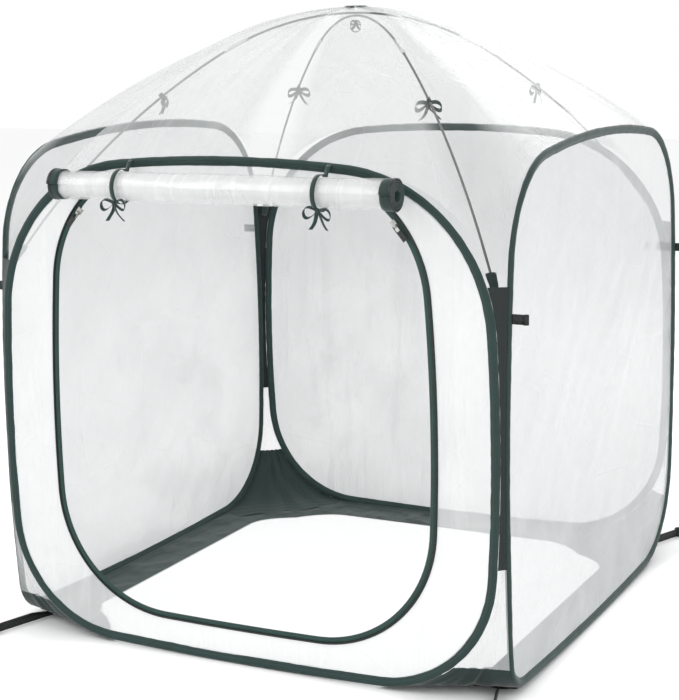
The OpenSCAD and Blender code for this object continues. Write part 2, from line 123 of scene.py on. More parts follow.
world = bpy.data.worlds.new("white room")
world.use_nodes = True
world.node_tree.nodes["Background"].inputs["Color"].default_value = linear("#ffffff")
world.node_tree.nodes["Background"].inputs["Strength"].default_value = 1.0
bpy.context.scene.world = world

# floor paint: flat white emulsion with a very slight unevenness
floor_paint, tree = surface("flat_white_floor_paint")
grain = add(tree, "ShaderNodeTexNoise", {"Scale": 3.0, "Detail": 3.0})
tone = add(tree, "ShaderNodeValToRGB", {"Fac": grain.outputs["Fac"]})
tone.color_ramp.elements[0].color = linear("#f6f6f6")
tone.color_ramp.elements[1].color = linear("#fbfbfb")
finish_surface(floor_paint, add(tree, "ShaderNodeBsdfPrincipled",
                                {"Base Color": tone.outputs["Color"], "Roughness": 0.9}))
bm = bmesh.new()
bmesh.ops.create_grid(bm, x_segments=4, y_segments=4, size=14)
floor_mesh = bpy.data.meshes.new("floor")
bm.to_mesh(floor_mesh)
floor = bpy.data.objects.new("floor", floor_mesh)
floor.location.z = -0.0004
floor.data.materials.append(floor_paint)
bpy.context.scene.collection.objects.link(floor)

LAMPS = (("key", (-2.6, -3.4, 3.6), 2.6, 75), ("fill", (3.6, -1.6, 2.2), 2.4, 36),
         ("back", (0.4, 3.4, 3.4), 3.0, 60))
for lamp_name, lamp_at, lamp_size, lamp_power in LAMPS:
    lamp = bpy.data.objects.new(lamp_name, bpy.data.lights.new(lamp_name, "AREA"))
    lamp.data.size = lamp_size
    lamp.data.energy = lamp_power
    lamp.location = lamp_at
    lamp.rotation_euler = (Vector((0, 0, 0.5)) - lamp.location).to_track_quat("-Z", "Y").to_euler()
    bpy.context.scene.collection.objects.link(lamp)

# ---- Sleeves over the spring hoops ---------------------------------------------------------------
# Each wall has one closed hoop of flat spring steel in a sewn tube of dark green polyester, folded round it
# and stitched to the film along its inner edge. The hoop is twelve arcs that meet smoothly.
WAIST = 0.440
SIDE_BOW, TOP_BOW, FOOT_BOW = 3.5, 2.7, 9.0
SLEEVE_R, SLEEVE_HALF_DEPTH, HEM = 0.0065, 0.0055, 0.0115
SLEEVE_SIDES, SLEEVE_STEP = 16, 0.008
wall_y = -(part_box("front_film")[0].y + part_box("front_film")[1].y) / 2
wall_x = (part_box("right_film")[0].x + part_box("right_film")[1].x) / 2
fold = wall_x - 0.0068
hoop_half = fold - 0.0068
# half width, top, foot, then the corner radii in the order far top, near top, near foot, far foot
FRONT_HOOP = (hoop_half, 0.950, SLEEVE_R, (0.300, 0.300, 0.232, 0.232))
SIDE_HOOP = (hoop_half, 0.978, SLEEVE_R, (0.215, 0.205, 0.065, 0.200))


def quarter_arcs(hoop, quarter):
    """The three arcs of one quarter, from its widest point: (centre u, centre v, radius, start, end)."""
    half, top, foot, corners = hoop
    rise, end_bow = (top - WAIST, TOP_BOW) if quarter < 2 else (WAIST - foot, FOOT_BOW)
    corner = corners[quarter]
    flat, end = Vector((half - SIDE_BOW, 0)), Vector((0, rise - end_bow))
    apart = (end - flat).length
    one, two = SIDE_BOW - corner, end_bow - corner
    along = (one * one - two * two + apart * apart) / (2 * apart)
    beside = math.sqrt(max(0.0, one * one - along * along))
    way = (end - flat) / apart
    middles = [flat + way * along + Vector((-way.y, way.x)) * beside * s for s in (1, -1)]
    middle = max(middles, key=lambda m: m.x + m.y)
    first = math.atan2(middle.y, middle.x - flat.x)
    last = math.atan2(middle.y - end.y, middle.x)
    return ((flat.x, 0, SIDE_BOW, 0, first), (middle.x, middle.y, corner, first, last),
            (0, end.y, end_bow, last, math.pi / 2))


def hoop_arcs(hoop):
    """All twelve arcs in travel order, as (centre, radius, angle turned)."""
    arcs = []
    for quarter, (flip_u, flip_v) in enumerate(((1, 1), (-1, 1), (-1, -1), (1, -1))):
        three = quarter_arcs(hoop, quarter)
        for u, v, radius, start, end in three if quarter % 2 == 0 else reversed(three):
            arcs.append((Vector((flip_u * u, 0, WAIST + flip_v * v)), radius, end - start))
    return arcs


def steps_along(arcs, step):
    return [max(2, round(radius * angle / step)) for _, radius, angle in arcs]


def blank():
    """An empty bmesh whose vertices can hold how far they lie along and round a swept shape."""
    bm = bmesh.new()
    bm.verts.layers.float.new("along")
    bm.verts.layers.float.new("around")
    return bm


def sweep(bm, ring, arcs, steps, axis=(0, -1, 0)):
    """Spins ring along the arcs one step at a time and notes the length travelled on each new vertex."""
    along = bm.verts.layers.float["along"]
    travelled = 0.0
    rings = [[g for g in ring if isinstance(g, bmesh.types.BMVert)]]
    for (centre, radius, angle), count in zip(arcs, steps):
        for _ in range(count):
            ring = bmesh.ops.spin(bm, geom=ring, cent=centre, axis=axis, angle=angle / count,
                                  steps=1, use_merge=False)["geom_last"]
            travelled += radius * angle / count
            rings.append([g for g in ring if isinstance(g, bmesh.types.BMVert)])
            for vertex in rings[-1]:
                vertex[along] = travelled
    return rings, travelled


def lay_uv(bm, length, width):
    """UV in metres: along the sweep and round it. Values that jump at the closing seam are unwrapped."""
    along = bm.verts.layers.float["along"]
    around = bm.verts.layers.float["around"]
    uv = bm.loops.layers.uv.new("length_and_round")
    for face in bm.faces:
        for axis, (layer, period) in enumerate(((along, length), (around, width))):
            values = [loop.vert[layer] for loop in face.loops]
            top = max(values)
            for loop, value in zip(face.loops, values):
                loop[uv].uv[axis] = value + period if top - value > period / 2 else value


def piece(name, bm, material, body, placing=Matrix.Identity(4), closed=True):
    """Turns a finished bmesh into a piece that rides on a body."""
    bm.transform(placing)
    if closed:
        bmesh.ops.recalc_face_normals(bm, faces=bm.faces[:])
    elif placing.determinant() < 0:
        bmesh.ops.reverse_faces(bm, faces=bm.faces[:])
    mesh = bpy.data.meshes.new(name)
    bm.to_mesh(mesh)
    bm.free()
    made = bpy.data.objects.new(name, mesh)
    bpy.context.scene.collection.objects.link(made)
    made.data.materials.append(material)
    made.data.polygons.foreach_set("use_smooth", [True] * len(mesh.polygons))
    if body:
        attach(made, body)
    return made


# sleeve cloth: 300 denier polyester, a plain weave with 0.7 mm threads drawn at 1.6 mm so that they show;
# a row of 3.2 mm stitches in paler thread runs along the hem
THREAD = 0.0016  # bundles of threads, drawn four times as coarse as the real weave so that they show


def woven_polyester(name, hex_dark, hex_light, on_uv=False):
    material, tree = surface(name)
    place = add(tree, "ShaderNodeTexCoord").outputs["UV" if on_uv else "Object"]
    pitch = 1 / THREAD / 6.2832
    threads = [add(tree, "ShaderNodeTexWave", {"Vector": place, "Scale": pitch, "Distortion": 0.4},
                   wave_type="BANDS", bands_direction=way) for way in ("X", "Y" if on_uv else "Z")]
    weave = add(tree, "ShaderNodeMath", {0: threads[0].outputs["Fac"], 1: threads[1].outputs["Fac"]},
                operation="MULTIPLY")
    fade = add(tree, "ShaderNodeTexNoise", {"Vector": place, "Scale": 24.0, "Detail": 5.0, "Roughness": 0.6})
    mixed = add(tree, "ShaderNodeMath", {0: weave.outputs[0], 1: fade.outputs["Fac"]}, operation="MULTIPLY")
    tone = add(tree, "ShaderNodeValToRGB", {"Fac": mixed.outputs[0]})
    tone.color_ramp.elements[0].color = linear(hex_dark)
    tone.color_ramp.elements[1].color = linear(hex_light)
    tone.color_ramp.elements[1].position = 0.55
    colour = tone.outputs["Color"]
    height = add(tree, "ShaderNodeMath", {0: fade.outputs["Fac"], 1: weave.outputs[0]}, operation="ADD")
    if on_uv:
        apart = add(tree, "ShaderNodeSeparateXYZ", {"Vector": place})
        dash = add(tree, "ShaderNodeMath", {0: apart.outputs["X"], 1: 0.0042}, operation="MODULO")
        dash = add(tree, "ShaderNodeMath", {0: dash.outputs[0], 1: 0.0032}, operation="LESS_THAN")
        off = add(tree, "ShaderNodeMath", {0: apart.outputs["Y"], 1: 0.0170}, operation="SUBTRACT")
        off = add(tree, "ShaderNodeMath", {0: off.outputs[0]}, operation="ABSOLUTE")
        off = add(tree, "ShaderNodeMath", {0: off.outputs[0], 1: 0.0006}, operation="LESS_THAN")
        stitch = add(tree, "ShaderNodeMath", {0: dash.outputs[0], 1: off.outputs[0]}, operation="MULTIPLY")
        colour = add(tree, "ShaderNodeMix", {0: stitch.outputs[0], 6: colour, 7: linear("#4d7d72")},
                     data_type="RGBA").outputs[2]
        height = add(tree, "ShaderNodeMath", {0: height.outputs[0], 1: stitch.outputs[0]}, operation="ADD")
    bump = add(tree, "ShaderNodeBump", {"Height": height.outputs[0], "Strength": 0.35, "Distance": 0.0008})
    return finish_surface(material, add(tree, "ShaderNodeBsdfPrincipled", {
        "Base Color": colour, "Roughness": 0.72, "Normal": bump.outputs["Normal"],
        "Sheen Weight": 0.25, "Sheen Roughness": 0.4}))


sleeve_cloth = woven_polyester("woven_polyester_sleeve", "#0f2623", "#1f4640", on_uv=True)

# spring steel: cold rolled strip, fine lines along the roll and a bluish grey shine
spring_steel, tree = surface("cold_rolled_spring_steel")
place = add(tree, "ShaderNodeTexCoord").outputs["Object"]
lines = add(tree, "ShaderNodeTexNoise", {"Vector": place, "Scale": 900.0, "Detail": 2.0})
rough = add(tree, "ShaderNodeMapRange", {"Value": lines.outputs["Fac"], "To Min": 0.22, "To Max": 0.42})
finish_surface(spring_steel, add(tree, "ShaderNodeBsdfPrincipled", {
    "Base Color": linear("#a9adb2"), "Metallic": 1.0, "Roughness": rough.outputs[0]}))

PLACES = {
    "front": (FRONT_HOOP, Matrix.Translation((0, -wall_y, 0))),
    "back": (FRONT_HOOP, Matrix.Translation((0, wall_y, 0))),
    "right": (SIDE_HOOP, Matrix.Translation((wall_x, 0, 0)) @ Matrix.Rotation(math.pi / 2, 4, "Z")),
    "left": (SIDE_HOOP, Matrix.Translation((-wall_x, 0, 0)) @ Matrix.Rotation(math.pi / 2, 4, "Z")),
}
for wall, (hoop, placing) in PLACES.items():
    bm = blank()
    around = bm.verts.layers.float["around"]
    girth = 2 * math.pi * SLEEVE_R
    ring = bmesh.ops.create_circle(bm, segments=SLEEVE_SIDES, radius=1)["verts"]
    for vertex in ring:
        out, deep = vertex.co.x, vertex.co.y
        vertex[around] = (math.atan2(deep, out) / (2 * math.pi) % 1) * girth
        if out < -0.5:
            vertex.co.x = -0.00325 + (out + 0.5) / 0.5 * (HEM - 0.00325)
            vertex.co.y = deep * SLEEVE_HALF_DEPTH * (0.4 if out < -0.8 else 0.8)
        else:
            vertex.co.x = out * SLEEVE_R
            vertex.co.y = deep * SLEEVE_HALF_DEPTH
        vertex.co += Vector((hoop[0], 0, WAIST))
    arcs = hoop_arcs(hoop)
    _, length = sweep(bm, bm.verts[:] + bm.edges[:], arcs, steps_along(arcs, SLEEVE_STEP))
    bmesh.ops.remove_doubles(bm, verts=bm.verts[:], dist=0.00005)
    bmesh.ops.recalc_face_normals(bm, faces=bm.faces[:])
    # the cloth puckers a little along its seam
    bm.normal_update()
    for vertex in bm.verts:
        pucker = noise.noise(vertex.co * 55) * 0.0006 + noise.noise(vertex.co * 9) * 0.0006
        if vertex.co.z > 0.01:
            vertex.co += vertex.normal * (pucker - 0.0003)
    lay_uv(bm, length, girth)
    piece(wall + "_sleeve_cloth", bm, sleeve_cloth, wall + "_wall", placing)
    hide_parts(wall + "_sleeve")
    for hidden in ("_spring", "_joiner"):
        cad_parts[wall + hidden].data.materials.clear()
        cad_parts[wall + hidden].data.materials.append(spring_steel)

# ---- Clear film of the walls ---------------------------------------------------------------------
# Calendered PVC film, sewn into the sleeves. It is clear with a milky haze, and being stretched over a hoop
# it carries slack billows, fine pull lines and the fold marks of its packing.
ZIP_TOP = 0.884


def pvc_film(name, hex_colour, haze, haze_spread, streak_angle, streak_size, bump_height, on_poles=False):
    """Haze is how much of what lies behind is hidden; it falls where film touches a pole, at UV x near 1."""
    material, tree = surface(name)
    place = add(tree, "ShaderNodeTexCoord").outputs["Object"]
    streaks = (1 / streak_size, 0.14 / streak_size, 0.14 / streak_size)
    turned = add(tree, "ShaderNodeMapping", {"Vector": place, "Rotation": streak_angle, "Scale": streaks})
    pulls = add(tree, "ShaderNodeTexNoise", {"Vector": turned.outputs[0], "Scale": 1.0, "Detail": 6.0,
                                             "Roughness": 0.55, "Distortion": 0.9})
    crease = add(tree, "ShaderNodeTexVoronoi", {"Vector": place, "Scale": 5.5, "Randomness": 1.0},
                 feature="DISTANCE_TO_EDGE")
    crease = add(tree, "ShaderNodeMapRange", {"Value": crease.outputs["Distance"], "From Max": 0.02,
                                              "To Min": 1.0, "To Max": 0.0})
    cloud = add(tree, "ShaderNodeTexNoise", {"Vector": place, "Scale": 7.0, "Detail": 3.0})
    ridge = add(tree, "ShaderNodeMapRange", {"Value": pulls.outputs["Fac"], "From Min": 0.50,
                                             "From Max": 0.72})
    alpha = add(tree, "ShaderNodeMapRange", {"Value": cloud.outputs["Fac"], "From Min": 0.3, "From Max": 0.7,
                                             "To Min": haze - haze_spread, "To Max": haze + haze_spread})
    alpha = add(tree, "ShaderNodeMath", {0: ridge.outputs[0], 1: 0.10, 2: alpha.outputs[0]},
                operation="MULTIPLY_ADD", use_clamp=True)
    alpha = add(tree, "ShaderNodeMath", {0: crease.outputs[0], 1: 0.02, 2: alpha.outputs[0]},
                operation="MULTIPLY_ADD", use_clamp=True)
    if on_poles:
        apart = add(tree, "ShaderNodeSeparateXYZ", {"Vector": add(tree, "ShaderNodeTexCoord").outputs["UV"]})
        clearer = add(tree, "ShaderNodeMapRange", {"Value": apart.outputs["X"], "From Min": 0.80,
                                                   "From Max": 0.91, "To Min": 1.0, "To Max": 0.12})
        alpha = add(tree, "ShaderNodeMath", {0: alpha.outputs[0], 1: clearer.outputs[0]},
                    operation="MULTIPLY")
    height = add(tree, "ShaderNodeMath", {0: crease.outputs[0], 1: 0.10, 2: pulls.outputs["Fac"]},
                 operation="MULTIPLY_ADD")
    bump = add(tree, "ShaderNodeBump", {"Height": height.outputs[0], "Strength": 0.8,
                                        "Distance": bump_height})
    return finish_surface(material, add(tree, "ShaderNodeBsdfPrincipled", {
        "Base Color": linear(hex_colour), "Roughness": 0.16, "IOR": 1.53, "Alpha": alpha.outputs[0],
        "Normal": bump.outputs["Normal"]}))


# one film in three tones: the back copy is darker as painted shade and the front copy lighter as painted light,
# for how the lamps fall on each wall
wall_film = pvc_film("calendered_pvc_wall_film", "#cfd1d2", 0.66, 0.05, (0, 0.5, 0.2), 0.035, 0.004)
back_film_painted_shade = pvc_film("calendered_pvc_back_film_painted_shade", "#bfc1c2", 0.66, 0.05, (0, 0.4, 0.1), 0.040, 0.004)
front_film_painted_light = pvc_film("calendered_pvc_front_film_painted_light", "#e2e4e4", 0.60, 0.05, (0, 0.9, 0), 0.045, 0.006)


def billow(point, seed):
    """Slack of stretched film at a point: broad billows with finer slanting pull lines."""
    slanted = Vector(((point.x + point.y + point.z) * 4, (point.x + point.y - point.z) * 17, seed))
    return noise.noise(point * 3.1 + Vector((seed, 0, 0))) * 0.009 + noise.noise(slanted) * 0.0022


def no_shadow(made):
    """Clear film lets the lamps through, so it casts no shadow of its own."""
    made.visible_shadow = False
    return made


def outline_loop(bm, arcs, start_u, steps):
    """A closed ring of edges along the arcs, moved in from the hoop's own line."""
    known = set(bm.edges)
    start = bm.verts.new((start_u, 0, WAIST))
    rings, _ = sweep(bm, [start], arcs, steps)
    bmesh.ops.remove_doubles(bm, verts=[v for ring in rings for v in ring], dist=0.00002)
    return [edge for edge in bm.edges if edge not in known]


for seed, wall in enumerate(("back", "right", "left")):
    hoop, placing = PLACES[wall]
    arcs = hoop_arcs(hoop)
    bm = blank()
    edges = outline_loop(bm, arcs, hoop[0] - 0.0045, steps_along(arcs, 0.018))
    middle = Vector((0, 0, 0.47))
    inset = {vertex: 0.0 for vertex in bm.verts}
    rings = 44
    for step in range(1, rings):
        out = bmesh.ops.extrude_edge_only(bm, edges=edges)["geom"]
        fresh = [g for g in out if isinstance(g, bmesh.types.BMVert)]
        found = set(fresh)
        edges = [g for g in out if isinstance(g, bmesh.types.BMEdge) and set(g.verts) <= found]
        shrink = 1 - 1 / (rings - step + 1)
        bmesh.ops.scale(bm, vec=(shrink,) * 3, space=Matrix.Translation(-middle), verts=fresh)
        inset.update({vertex: step / rings for vertex in fresh})
    bmesh.ops.contextual_create(bm, geom=edges)
    bmesh.ops.recalc_face_normals(bm, faces=bm.faces[:])
    for vertex in bm.verts:
        held = min(1.0, inset.get(vertex, 1.0) * 7)
        vertex.co.y += held * billow(vertex.co, 10 + 7 * seed)
    flat_area = sum(face.calc_area() for face in bm.faces)
    made = no_shadow(piece(wall + "_film_sheet", bm, back_film_painted_shade if wall == "back" else wall_film,
                           wall + "_wall", placing))
    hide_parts(wall + "_film")

# ---- Front wall: film round the opening, zip and its sliders -------------------------------------
# The front film is one frame round the door opening. A nylon coil zip on a woven tape follows the opening
# and ends behind the rolled door; the two sliders are parked just under the roll.
DOOR = (0.402, 0.944, 0.068, (0.240, 0.240, 0.240, 0.240))
TAPE_HALF, TAPE_SHIFT = 0.007, 0.003
hoop_line, door_line = hoop_arcs(FRONT_HOOP), hoop_arcs(DOOR)
door_steps = steps_along(hoop_line, 0.016)
bm = blank()
outer = outline_loop(bm, hoop_line, FRONT_HOOP[0] - 0.0045, door_steps)
inner = outline_loop(bm, door_line, DOOR[0] + 0.002, door_steps)
for edge in inner:
    for vertex in edge.verts:
        vertex.co.z = min(vertex.co.z, ZIP_TOP)
across = bmesh.ops.bridge_loops(bm, edges=outer + inner)["edges"]
bmesh.ops.subdivide_edges(bm, edges=across, cuts=8, use_grid_fill=True)
bmesh.ops.recalc_face_normals(bm, faces=bm.faces[:])
for vertex in bm.verts:
    if not vertex.is_boundary:
        vertex.co.y += billow(vertex.co, 3.0) * 0.5
flat_area = sum(face.calc_area() for face in bm.faces)
front_sheet = no_shadow(piece("front_film_sheet", bm, front_film_painted_light, "front_wall", PLACES["front"][1]))
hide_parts("front_film")

tape_cloth = woven_polyester("woven_zip_tape", "#122d28", "#2a554c", on_uv=True)
bm = blank()
around = bm.verts.layers.float["around"]
ends = [bm.verts.new((DOOR[0] - TAPE_SHIFT + side * TAPE_HALF, 0, WAIST)) for side in (-1, 1)]
for end, value in zip(ends, (0, 2 * TAPE_HALF)):
    end[around] = value
_, length = sweep(bm, ends + [bm.edges.new(ends)], door_line, steps_along(door_line, 0.012))
bmesh.ops.remove_doubles(bm, verts=bm.verts[:], dist=0.00002)
bmesh.ops.bisect_plane(bm, geom=bm.verts[:] + bm.edges[:] + bm.faces[:], plane_co=(0, 0, ZIP_TOP),
                       plane_no=(0, 0, 1), clear_outer=True)
lay_uv(bm, length, 1.0)
bmesh.ops.solidify(bm, geom=bm.faces[:], thickness=0.0014)
bmesh.ops.translate(bm, vec=(0, -0.0007, 0), verts=bm.verts[:])
tape = piece("zip_tape_cloth", bm, tape_cloth, "front_wall", PLACES["front"][1])
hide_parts("zip_tape")

# coil: black nylon monofilament wound into teeth, drawn with one tooth every 3 mm
nylon, tree = surface("moulded_nylon_coil")
place = add(tree, "ShaderNodeTexCoord").outputs["Object"]
scuff = add(tree, "ShaderNodeTexNoise", {"Vector": place, "Scale": 300.0, "Detail": 2.0})
rough = add(tree, "ShaderNodeMapRange", {"Value": scuff.outputs["Fac"], "To Min": 0.3, "To Max": 0.5})
finish_surface(nylon, add(tree, "ShaderNodeBsdfPrincipled", {
    "Base Color": linear("#0b0d0d"), "Roughness": rough.outputs[0], "IOR": 1.53}))
bm = blank()
bmesh.ops.create_circle(bm, segments=8, radius=0.0019,
                        matrix=Matrix.Translation((DOOR[0] + 0.0015, -0.0024, WAIST)))
rings, _ = sweep(bm, bm.verts[:] + bm.edges[:], door_line, steps_along(door_line, 0.0015))
for ring in rings[1:-1:2]:
    centre = sum((v.co for v in ring), Vector()) / len(ring)
    for vertex in ring:
        vertex.co = centre + (vertex.co - centre) * 0.62
bmesh.ops.remove_doubles(bm, verts=bm.verts[:], dist=0.00002)
cut = bmesh.ops.bisect_plane(bm, geom=bm.verts[:] + bm.edges[:] + bm.faces[:], plane_co=(0, 0, ZIP_TOP),
                             plane_no=(0, 0, 1), clear_outer=True)
bmesh.ops.edgeloop_fill(bm, edges=[g for g in cut["geom_cut"] if isinstance(g, bmesh.types.BMEdge)])
coil = piece("zip_coil_teeth", bm, nylon, "front_wall", PLACES["front"][1])
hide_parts("zip_coil")

# sliders: nickel plated zinc; pulls: the same with black enamel
nickel, tree = surface("nickel_plated_zinc")
place = add(tree, "ShaderNodeTexCoord").outputs["Object"]
scuff = add(tree, "ShaderNodeTexNoise", {"Vector": place, "Scale": 400.0, "Detail": 4.0})
rough = add(tree, "ShaderNodeMapRange", {"Value": scuff.outputs["Fac"], "To Min": 0.18, "To Max": 0.4})
finish_surface(nickel, add(tree, "ShaderNodeBsdfPrincipled", {
    "Base Color": linear("#b9b9b4"), "Metallic": 1.0, "Roughness": rough.outputs[0]}))
enamel, tree = surface("black_enamel")
place = add(tree, "ShaderNodeTexCoord").outputs["Object"]
chips = add(tree, "ShaderNodeTexNoise", {"Vector": place, "Scale": 260.0, "Detail": 6.0, "Roughness": 0.7})
worn = add(tree, "ShaderNodeMapRange", {"Value": chips.outputs["Fac"], "From Min": 0.66, "From Max": 0.70})
colour = add(tree, "ShaderNodeMix", {0: worn.outputs[0], 6: linear("#101111"), 7: linear("#8a8a86")},
             data_type="RGBA")
finish_surface(enamel, add(tree, "ShaderNodeBsdfPrincipled", {
    "Base Color": colour.outputs[2], "Roughness": 0.28, "Coat Weight": 0.4}))
for side in ("left", "right"):
    for node, metal in (("slider_" + side, nickel), ("pull_" + side, enamel)):
        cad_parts[node].data.materials.clear()
        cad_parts[node].data.materials.append(metal)

# ---- Corner sheets: gussets, gores and seams -----------------------------------------------------
# Where two hoops curve apart at the ground, a cloth gusset and a clear gore close the corner between their
# sleeves; above them the two sleeves are joined by a narrow seam.
CLEAR_R = SLEEVE_R + 0.0004
gusset_cloth = woven_polyester("woven_polyester_gusset", "#0f2421", "#233f3a")
# the seam cloth is coloured darker than the sleeve cloth: painted shade in the narrow gap between the two sleeves
seam_cloth_painted_shade = woven_polyester("woven_polyester_seam_painted_shade", "#0a1514", "#172725")
gore_film = pvc_film("calendered_pvc_corner_film", "#cbcdcd", 0.45, 0.06, (0, 0, 0.4), 0.02, 0.003)


def reach(hoop, quarter, z, out):
    """Half width of a quarter of a hoop at height z, measured out outside its line."""
    rise = abs(z - WAIST)
    flat, corner, end = quarter_arcs(hoop, quarter)
    low = (flat[2] + out) * math.sin(flat[4])
    high = corner[1] + (corner[2] + out) * math.sin(corner[4])
    u, v, radius, _, _ = flat if rise <= low else corner if rise <= high else end
    return u + math.sqrt(max(0.0, (radius + out) ** 2 - (rise - v) ** 2))


def corner_sheet(depth, z_low, z_high, fullness, part=(0, 1)):
    """A sheet between the front or back sleeve and the right one; depth is -1 in front, 1 behind."""
    bm = bmesh.new()
    rows = max(4, round((z_high - z_low) / 0.009))
    bmesh.ops.create_grid(bm, x_segments=22, y_segments=rows, size=0.5)
    for vertex in bm.verts:
        share = part[0] + (vertex.co.x + 0.5) * (part[1] - part[0])
        z = z_low + (vertex.co.y + 0.5) * (z_high - z_low)
        low = z < WAIST
        front = Vector((reach(FRONT_HOOP, 2 if low else 0, z, CLEAR_R), wall_y, z))
        beside = Vector((wall_x, reach(SIDE_HOOP, (2 if depth < 0 else 3) if low else (1 if depth < 0 else 0),
                                       z, CLEAR_R), z))
        at = front.lerp(beside, share)
        slack = share * (1 - share) * 4 * fullness
        wave = noise.noise(Vector((share * 9, z * 11, 5.0 + depth))) + 0.5 * noise.noise(
            Vector((share * 30 + z * 40, z * 9, depth)))
        at += Vector((1, 1, 0)).normalized() * slack * (wave - 0.6)
        at.y *= depth
        vertex.co = at
    return bm


MIRROR = Matrix.Diagonal((-1, 1, 1, 1))
FOOT_Z, SEAM_TOP = 0.004, 0.745
for depth, tag, gusset_top, gore_top in ((-1, "f", 0.062, 0.251), (1, "b", 0.124, 0.281)):
    kinds = (("gusset_", FOOT_Z, gusset_top, 0.010, gusset_cloth, "sleeve_fabric"),
             ("gore_", gusset_top, gore_top, 0.004, gore_film, "clear_film"),
             ("seam_", gore_top, SEAM_TOP, 0.0006, seam_cloth_painted_shade, "sleeve_fabric"))
    for kind, z_low, z_high, fullness, material, slot in kinds:
        for side, mirrored in (("r", 1), ("l", -1)):
            halves = ((0, 0.5), (0.5, 1)) if (depth, mirrored) == (1, -1) else ((0, 1),)
            for number, part in enumerate(halves):
                bm = corner_sheet(depth, z_low, z_high, fullness, part)
                bmesh.ops.recalc_face_normals(bm, faces=bm.faces[:])
                bm.faces.ensure_lookup_table()
                if bm.faces[len(bm.faces) // 2].normal.x < 0:
                    bmesh.ops.reverse_faces(bm, faces=bm.faces[:])
                area = sum(face.calc_area() for face in bm.faces)
                # the sheet's points, gathered in rows by their height
                rows = {}
                for vertex in bm.verts:
                    rows.setdefault(round(vertex.co.z, 6), []).append(vertex.co.xy.copy())
                body = None
                if len(halves) == 2:
                    body = ("back_wall", "left_wall")[number]
                name = kind + tag + side + ("_" + "ab"[number] if len(halves) == 2 else "")
                made = piece(name + "_sheet", bm, material, body,
                             Matrix.Identity(4) if mirrored > 0 else MIRROR, closed=False)
                if kind == "gore_":
                    no_shadow(made)
                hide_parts(kind + tag + side if kind != "seam_"
                            else ("front_seams" if depth < 0 else "back_seams"))
                if body:
                    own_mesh(made)
                elif depth < 0:
                    other = "right_wall" if mirrored > 0 else "left_wall"
                    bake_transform(made, "front_wall", other, start=(mirrored * 0.522, -0.528, 0),
                             end=(mirrored * 0.528, -0.522, 0))
                else:
                    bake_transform(made, "right_wall", "back_wall", start=(0.528, 0.522, 0), end=(0.522, 0.528, 0))

# ---- Rolled door ---------------------------------------------------------------------------------
# The door film is rolled up from its foot and held under the front hoop. Its zip tape is rolled up with it
# and shows as green and black spirals at both ends.
ROLL_HALF, ROLL_R, ROLL_CORE, ROLL_TURNS = 0.328, 0.0305, 0.0095, 6.4
roll_low, roll_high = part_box("door_roll_film")
roll_centre = Vector((0, (roll_low.y + roll_high.y) / 2, (roll_low.z + roll_high.z) / 2))
roll_film = pvc_film("calendered_pvc_rolled_door", "#e6e7e7", 0.34, 0.08, (0.3, 0.2, 1.2), 0.03, 0.004)


def spiral_strip(bm, x_from, x_to, x_steps, core, outside, turns, points_per_turn):
    """A strip rolled up along X: the spiral's edge is drawn first, then extruded along the roll."""
    total = round(turns * points_per_turn)
    line = []
    for step in range(total + 1):
        angle = 2 * math.pi * step / points_per_turn + 0.6
        radius = core + (outside - core) * step / total
        line.append(bm.verts.new((x_from, radius * math.cos(angle), radius * math.sin(angle))))
    edges = [bm.edges.new(pair) for pair in zip(line, line[1:])]
    for _ in range(x_steps):
        out = bmesh.ops.extrude_edge_only(bm, edges=edges)["geom"]
        fresh = [g for g in out if isinstance(g, bmesh.types.BMVert)]
        found = set(fresh)
        edges = [g for g in out if isinstance(g, bmesh.types.BMEdge) and set(g.verts) <= found]
        bmesh.ops.translate(bm, vec=((x_to - x_from) / x_steps, 0, 0), verts=fresh)


bm = bmesh.new()
spiral_strip(bm, -ROLL_HALF, ROLL_HALF, 60, ROLL_CORE, ROLL_R - 0.001, ROLL_TURNS, 26)
flat_area = sum(face.calc_area() for face in bm.faces)
for vertex in bm.verts:
    x, radial = vertex.co.x, Vector((0, vertex.co.y, vertex.co.z))
    angle = math.atan2(vertex.co.z, vertex.co.y)
    dent = noise.noise(Vector((x * 11, math.cos(angle) * 1.6, math.sin(angle) * 1.6)))
    fine = noise.noise(Vector((x * 60, math.cos(angle) * 3 + radial.length * 90, math.sin(angle) * 3)))
    vertex.co += radial.normalized() * (dent * 0.0022 + fine * 0.0007 - 0.0010)
bmesh.ops.recalc_face_normals(bm, faces=bm.faces[:])
roll = no_shadow(piece("door_roll_sheet", bm, roll_film, "door_roll", Matrix.Translation(roll_centre),
                       closed=False))
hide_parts("door_roll_film")

for name, thick, material, slot, inward, grow in (
        ("roll_end_tape_cloth", 0.0016, tape_cloth, "zip_tape", 0.000, 0.0),
        ("roll_end_coils", 0.0022, nylon, "zip_teeth", 0.005, 0.0009)):
    bm = blank()
    for side in (-1, 1):
        out_end = side * (ROLL_HALF + 0.023 - (0.0006 if inward else 0))
        in_end = side * (ROLL_HALF + (0.001 if not inward else 0.018))
        spiral_strip(bm, in_end, out_end, 3, 0.0115 + grow, ROLL_R + grow, 4.4, 26)
    bmesh.ops.recalc_face_normals(bm, faces=bm.faces[:])
    bmesh.ops.solidify(bm, geom=bm.faces[:], thickness=thick)
    for vertex in bm.verts:
        vertex.co.yz = Vector(vertex.co.yz) * (1 + 0.05 * noise.noise(Vector((vertex.co.x * 9, 4, 2))))
    ends = piece(name, bm, material, "door_roll", Matrix.Translation(roll_centre))
    if inward == 0:
        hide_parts("roll_end_tapes")

